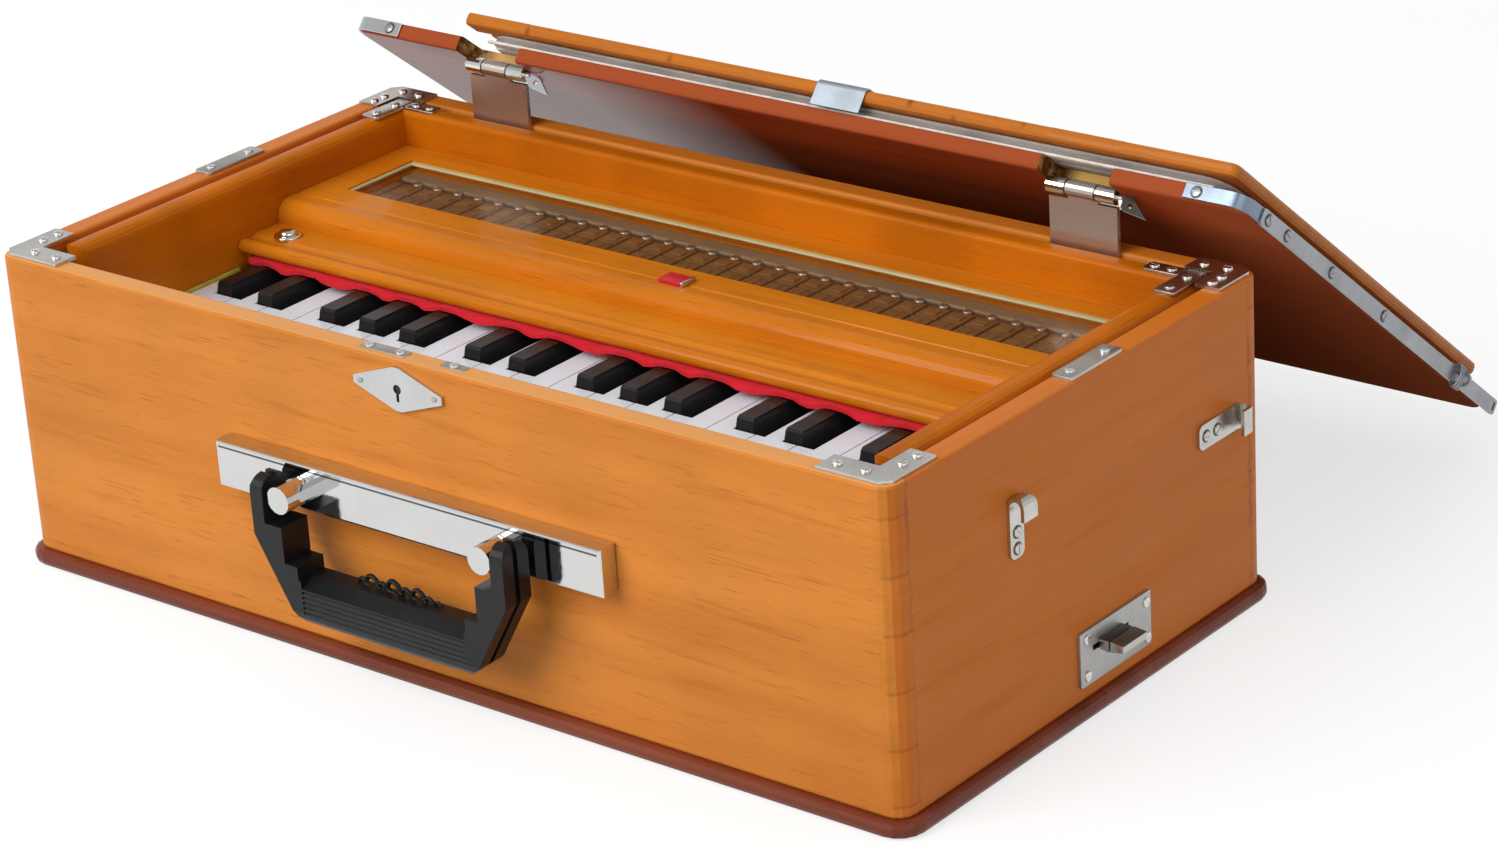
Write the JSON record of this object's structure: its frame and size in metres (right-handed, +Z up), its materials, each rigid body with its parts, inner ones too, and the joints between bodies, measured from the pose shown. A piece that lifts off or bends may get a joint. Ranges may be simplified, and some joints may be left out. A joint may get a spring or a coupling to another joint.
{
  "type": "indian harmonium",
  "caption": "Portable Indian harmonium in a varnished wooden suitcase case, lid with bellows swung open behind the keyboard.",
  "frame": {"origin": "centre of the underside of the base board, on the surface it stands on", "axes": "+X along the keyboard towards the high notes, -Y towards the player and the carrying handle, +Z up"},
  "size_m": [0.4956, 0.4664, 0.1942],
  "materials": {
    "amber_wood": "clear gloss varnish over straight-grained amber wood",
    "pale_wood": "gloss varnish over lighter honey-coloured wood",
    "red_wood": "gloss varnish over dark red-brown wood",
    "window_glass": "clear flat pane",
    "polished_chrome": "mirror polish",
    "nickel_steel": "nickel-plated sheet steel, slightly worn",
    "handle_plastic": "semi-matte moulded black plastic",
    "white_key_plastic": "smooth white key tops",
    "black_key_plastic": "satin black key tops",
    "bellows_cloth": "grey-white bellows paper and cloth folds"
  },
  "bodies": {
    "case": {"base_board": "red_wood", "case_walls": "amber_wood", "inner_body": "pale_wood", "key_cover_board": "pale_wood", "window_board": "pale_wood", "glass_pane": "window_glass", "handle_bar": "polished_chrome", "lock_escutcheon": "nickel_steel", "corner_plate_front_left": "nickel_steel", "corner_plate_front_right": "nickel_steel", "corner_plate_rear_left": "nickel_steel", "corner_plate_rear_right": "nickel_steel", "hook_catch_front": "nickel_steel", "hook_catch_rear": "nickel_steel", "bolt_plate": "nickel_steel", "hinge_plate_left": "nickel_steel", "hinge_plate_right": "nickel_steel"},
    "lid": {"lid_board": "red_wood", "lid_strap": "nickel_steel", "hinge_leaf_left": "nickel_steel", "hinge_leaf_right": "nickel_steel", "bellows_folds": "bellows_cloth"},
    "bellows_flap": {"bellows_board": "amber_wood", "bellows_clip": "nickel_steel"},
    "handle": {"handle_grip": "handle_plastic"},
    "side_bolt": {"bolt_knob": "nickel_steel"},
    "key_white_c1_lever": {"key_white_c1": "white_key_plastic"},
    "key_white_d1_lever": {"key_white_d1": "white_key_plastic"},
    "key_white_e1_lever": {"key_white_e1": "white_key_plastic"},
    "key_white_f1_lever": {"key_white_f1": "white_key_plastic"},
    "key_white_g1_lever": {"key_white_g1": "white_key_plastic"},
    "key_white_a1_lever": {"key_white_a1": "white_key_plastic"},
    "key_white_b1_lever": {"key_white_b1": "white_key_plastic"},
    "key_white_c2_lever": {"key_white_c2": "white_key_plastic"},
    "key_white_d2_lever": {"key_white_d2": "white_key_plastic"},
    "key_white_e2_lever": {"key_white_e2": "white_key_plastic"},
    "key_white_f2_lever": {"key_white_f2": "white_key_plastic"},
    "key_white_g2_lever": {"key_white_g2": "white_key_plastic"},
    "key_white_a2_lever": {"key_white_a2": "white_key_plastic"},
    "key_white_b2_lever": {"key_white_b2": "white_key_plastic"},
    "key_white_c3_lever": {"key_white_c3": "white_key_plastic"},
    "key_white_d3_lever": {"key_white_d3": "white_key_plastic"},
    "key_white_e3_lever": {"key_white_e3": "white_key_plastic"},
    "key_white_f3_lever": {"key_white_f3": "white_key_plastic"},
    "key_white_g3_lever": {"key_white_g3": "white_key_plastic"},
    "key_white_a3_lever": {"key_white_a3": "white_key_plastic"},
    "key_black_cs1_lever": {"key_black_cs1": "black_key_plastic"},
    "key_black_ds1_lever": {"key_black_ds1": "black_key_plastic"},
    "key_black_fs1_lever": {"key_black_fs1": "black_key_plastic"},
    "key_black_gs1_lever": {"key_black_gs1": "black_key_plastic"},
    "key_black_as1_lever": {"key_black_as1": "black_key_plastic"},
    "key_black_cs2_lever": {"key_black_cs2": "black_key_plastic"},
    "key_black_ds2_lever": {"key_black_ds2": "black_key_plastic"},
    "key_black_fs2_lever": {"key_black_fs2": "black_key_plastic"},
    "key_black_gs2_lever": {"key_black_gs2": "black_key_plastic"},
    "key_black_as2_lever": {"key_black_as2": "black_key_plastic"},
    "key_black_cs3_lever": {"key_black_cs3": "black_key_plastic"},
    "key_black_ds3_lever": {"key_black_ds3": "black_key_plastic"},
    "key_black_fs3_lever": {"key_black_fs3": "black_key_plastic"},
    "key_black_gs3_lever": {"key_black_gs3": "black_key_plastic"}
  },
  "joints": [
    {"name": "lid_swing", "type": "hinge", "parent": "case", "child": "lid", "pos_m": [0, 0.1143, 0.17], "axis": [1, 0, 0], "range_deg": [0, 219]},
    {"name": "bellows_swing", "type": "hinge", "parent": "lid", "child": "bellows_flap", "pos_m": [0, 0.30916, 0.03138], "axis": [1, 0, 0], "range_deg": [-12, 0], "deforming": ["bellows_folds"]},
    {"name": "handle_swing", "type": "hinge", "parent": "case", "child": "handle", "pos_m": [0, -0.1465, 0.0815], "axis": [1, 0, 0], "range_deg": [-100, 6]},
    {"name": "side_bolt_slide", "type": "slide", "parent": "case", "child": "side_bolt", "axis": [0, 1, 0], "range_m": [-0.012, 0.006]},
    {"name": "key_white_c1_press", "type": "hinge", "parent": "case", "child": "key_white_c1_lever", "pos_m": [0, 0.008, 0.0912], "axis": [1, 0, 0], "range_deg": [0, 2.67], "stiffness_Nm_per_rad": 0.3, "springref_deg": -5.73},
    {"name": "key_white_d1_press", "type": "hinge", "parent": "case", "child": "key_white_d1_lever", "pos_m": [0, 0.008, 0.0912], "axis": [1, 0, 0], "range_deg": [0, 2.67], "stiffness_Nm_per_rad": 0.3, "springref_deg": -5.73},
    {"name": "key_white_e1_press", "type": "hinge", "parent": "case", "child": "key_white_e1_lever", "pos_m": [0, 0.008, 0.0912], "axis": [1, 0, 0], "range_deg": [0, 2.67], "stiffness_Nm_per_rad": 0.3, "springref_deg": -5.73},
    {"name": "key_white_f1_press", "type": "hinge", "parent": "case", "child": "key_white_f1_lever", "pos_m": [0, 0.008, 0.0912], "axis": [1, 0, 0], "range_deg": [0, 2.67], "stiffness_Nm_per_rad": 0.3, "springref_deg": -5.73},
    {"name": "key_white_g1_press", "type": "hinge", "parent": "case", "child": "key_white_g1_lever", "pos_m": [0, 0.008, 0.0912], "axis": [1, 0, 0], "range_deg": [0, 2.67], "stiffness_Nm_per_rad": 0.3, "springref_deg": -5.73},
    {"name": "key_white_a1_press", "type": "hinge", "parent": "case", "child": "key_white_a1_lever", "pos_m": [0, 0.008, 0.0912], "axis": [1, 0, 0], "range_deg": [0, 2.67], "stiffness_Nm_per_rad": 0.3, "springref_deg": -5.73},
    {"name": "key_white_b1_press", "type": "hinge", "parent": "case", "child": "key_white_b1_lever", "pos_m": [0, 0.008, 0.0912], "axis": [1, 0, 0], "range_deg": [0, 2.67], "stiffness_Nm_per_rad": 0.3, "springref_deg": -5.73},
    {"name": "key_white_c2_press", "type": "hinge", "parent": "case", "child": "key_white_c2_lever", "pos_m": [0, 0.008, 0.0912], "axis": [1, 0, 0], "range_deg": [0, 2.67], "stiffness_Nm_per_rad": 0.3, "springref_deg": -5.73},
    {"name": "key_white_d2_press", "type": "hinge", "parent": "case", "child": "key_white_d2_lever", "pos_m": [0, 0.008, 0.0912], "axis": [1, 0, 0], "range_deg": [0, 2.67], "stiffness_Nm_per_rad": 0.3, "springref_deg": -5.73},
    {"name": "key_white_e2_press", "type": "hinge", "parent": "case", "child": "key_white_e2_lever", "pos_m": [0, 0.008, 0.0912], "axis": [1, 0, 0], "range_deg": [0, 2.67], "stiffness_Nm_per_rad": 0.3, "springref_deg": -5.73},
    {"name": "key_white_f2_press", "type": "hinge", "parent": "case", "child": "key_white_f2_lever", "pos_m": [0, 0.008, 0.0912], "axis": [1, 0, 0], "range_deg": [0, 2.67], "stiffness_Nm_per_rad": 0.3, "springref_deg": -5.73},
    {"name": "key_white_g2_press", "type": "hinge", "parent": "case", "child": "key_white_g2_lever", "pos_m": [0, 0.008, 0.0912], "axis": [1, 0, 0], "range_deg": [0, 2.67], "stiffness_Nm_per_rad": 0.3, "springref_deg": -5.73},
    {"name": "key_white_a2_press", "type": "hinge", "parent": "case", "child": "key_white_a2_lever", "pos_m": [0, 0.008, 0.0912], "axis": [1, 0, 0], "range_deg": [0, 2.67], "stiffness_Nm_per_rad": 0.3, "springref_deg": -5.73},
    {"name": "key_white_b2_press", "type": "hinge", "parent": "case", "child": "key_white_b2_lever", "pos_m": [0, 0.008, 0.0912], "axis": [1, 0, 0], "range_deg": [0, 2.67], "stiffness_Nm_per_rad": 0.3, "springref_deg": -5.73},
    {"name": "key_white_c3_press", "type": "hinge", "parent": "case", "child": "key_white_c3_lever", "pos_m": [0, 0.008, 0.0912], "axis": [1, 0, 0], "range_deg": [0, 2.67], "stiffness_Nm_per_rad": 0.3, "springref_deg": -5.73},
    {"name": "key_white_d3_press", "type": "hinge", "parent": "case", "child": "key_white_d3_lever", "pos_m": [0, 0.008, 0.0912], "axis": [1, 0, 0], "range_deg": [0, 2.67], "stiffness_Nm_per_rad": 0.3, "springref_deg": -5.73},
    {"name": "key_white_e3_press", "type": "hinge", "parent": "case", "child": "key_white_e3_lever", "pos_m": [0, 0.008, 0.0912], "axis": [1, 0, 0], "range_deg": [0, 2.67], "stiffness_Nm_per_rad": 0.3, "springref_deg": -5.73},
    {"name": "key_white_f3_press", "type": "hinge", "parent": "case", "child": "key_white_f3_lever", "pos_m": [0, 0.008, 0.0912], "axis": [1, 0, 0], "range_deg": [0, 2.67], "stiffness_Nm_per_rad": 0.3, "springref_deg": -5.73},
    {"name": "key_white_g3_press", "type": "hinge", "parent": "case", "child": "key_white_g3_lever", "pos_m": [0, 0.008, 0.0912], "axis": [1, 0, 0], "range_deg": [0, 2.67], "stiffness_Nm_per_rad": 0.3, "springref_deg": -5.73},
    {"name": "key_white_a3_press", "type": "hinge", "parent": "case", "child": "key_white_a3_lever", "pos_m": [0, 0.008, 0.0912], "axis": [1, 0, 0], "range_deg": [0, 2.67], "stiffness_Nm_per_rad": 0.3, "springref_deg": -5.73},
    {"name": "key_black_cs1_press", "type": "hinge", "parent": "case", "child": "key_black_cs1_lever", "pos_m": [0, 0.008, 0.0912], "axis": [1, 0, 0], "range_deg": [0, 2.67], "stiffness_Nm_per_rad": 0.3, "springref_deg": -5.73},
    {"name": "key_black_ds1_press", "type": "hinge", "parent": "case", "child": "key_black_ds1_lever", "pos_m": [0, 0.008, 0.0912], "axis": [1, 0, 0], "range_deg": [0, 2.67], "stiffness_Nm_per_rad": 0.3, "springref_deg": -5.73},
    {"name": "key_black_fs1_press", "type": "hinge", "parent": "case", "child": "key_black_fs1_lever", "pos_m": [0, 0.008, 0.0912], "axis": [1, 0, 0], "range_deg": [0, 2.67], "stiffness_Nm_per_rad": 0.3, "springref_deg": -5.73},
    {"name": "key_black_gs1_press", "type": "hinge", "parent": "case", "child": "key_black_gs1_lever", "pos_m": [0, 0.008, 0.0912], "axis": [1, 0, 0], "range_deg": [0, 2.67], "stiffness_Nm_per_rad": 0.3, "springref_deg": -5.73},
    {"name": "key_black_as1_press", "type": "hinge", "parent": "case", "child": "key_black_as1_lever", "pos_m": [0, 0.008, 0.0912], "axis": [1, 0, 0], "range_deg": [0, 2.67], "stiffness_Nm_per_rad": 0.3, "springref_deg": -5.73},
    {"name": "key_black_cs2_press", "type": "hinge", "parent": "case", "child": "key_black_cs2_lever", "pos_m": [0, 0.008, 0.0912], "axis": [1, 0, 0], "range_deg": [0, 2.67], "stiffness_Nm_per_rad": 0.3, "springref_deg": -5.73},
    {"name": "key_black_ds2_press", "type": "hinge", "parent": "case", "child": "key_black_ds2_lever", "pos_m": [0, 0.008, 0.0912], "axis": [1, 0, 0], "range_deg": [0, 2.67], "stiffness_Nm_per_rad": 0.3, "springref_deg": -5.73},
    {"name": "key_black_fs2_press", "type": "hinge", "parent": "case", "child": "key_black_fs2_lever", "pos_m": [0, 0.008, 0.0912], "axis": [1, 0, 0], "range_deg": [0, 2.67], "stiffness_Nm_per_rad": 0.3, "springref_deg": -5.73},
    {"name": "key_black_gs2_press", "type": "hinge", "parent": "case", "child": "key_black_gs2_lever", "pos_m": [0, 0.008, 0.0912], "axis": [1, 0, 0], "range_deg": [0, 2.67], "stiffness_Nm_per_rad": 0.3, "springref_deg": -5.73},
    {"name": "key_black_as2_press", "type": "hinge", "parent": "case", "child": "key_black_as2_lever", "pos_m": [0, 0.008, 0.0912], "axis": [1, 0, 0], "range_deg": [0, 2.67], "stiffness_Nm_per_rad": 0.3, "springref_deg": -5.73},
    {"name": "key_black_cs3_press", "type": "hinge", "parent": "case", "child": "key_black_cs3_lever", "pos_m": [0, 0.008, 0.0912], "axis": [1, 0, 0], "range_deg": [0, 2.67], "stiffness_Nm_per_rad": 0.3, "springref_deg": -5.73},
    {"name": "key_black_ds3_press", "type": "hinge", "parent": "case", "child": "key_black_ds3_lever", "pos_m": [0, 0.008, 0.0912], "axis": [1, 0, 0], "range_deg": [0, 2.67], "stiffness_Nm_per_rad": 0.3, "springref_deg": -5.73},
    {"name": "key_black_fs3_press", "type": "hinge", "parent": "case", "child": "key_black_fs3_lever", "pos_m": [0, 0.008, 0.0912], "axis": [1, 0, 0], "range_deg": [0, 2.67], "stiffness_Nm_per_rad": 0.3, "springref_deg": -5.73},
    {"name": "key_black_gs3_press", "type": "hinge", "parent": "case", "child": "key_black_gs3_lever", "pos_m": [0, 0.008, 0.0912], "axis": [1, 0, 0], "range_deg": [0, 2.67], "stiffness_Nm_per_rad": 0.3, "springref_deg": -5.73}
  ]
}
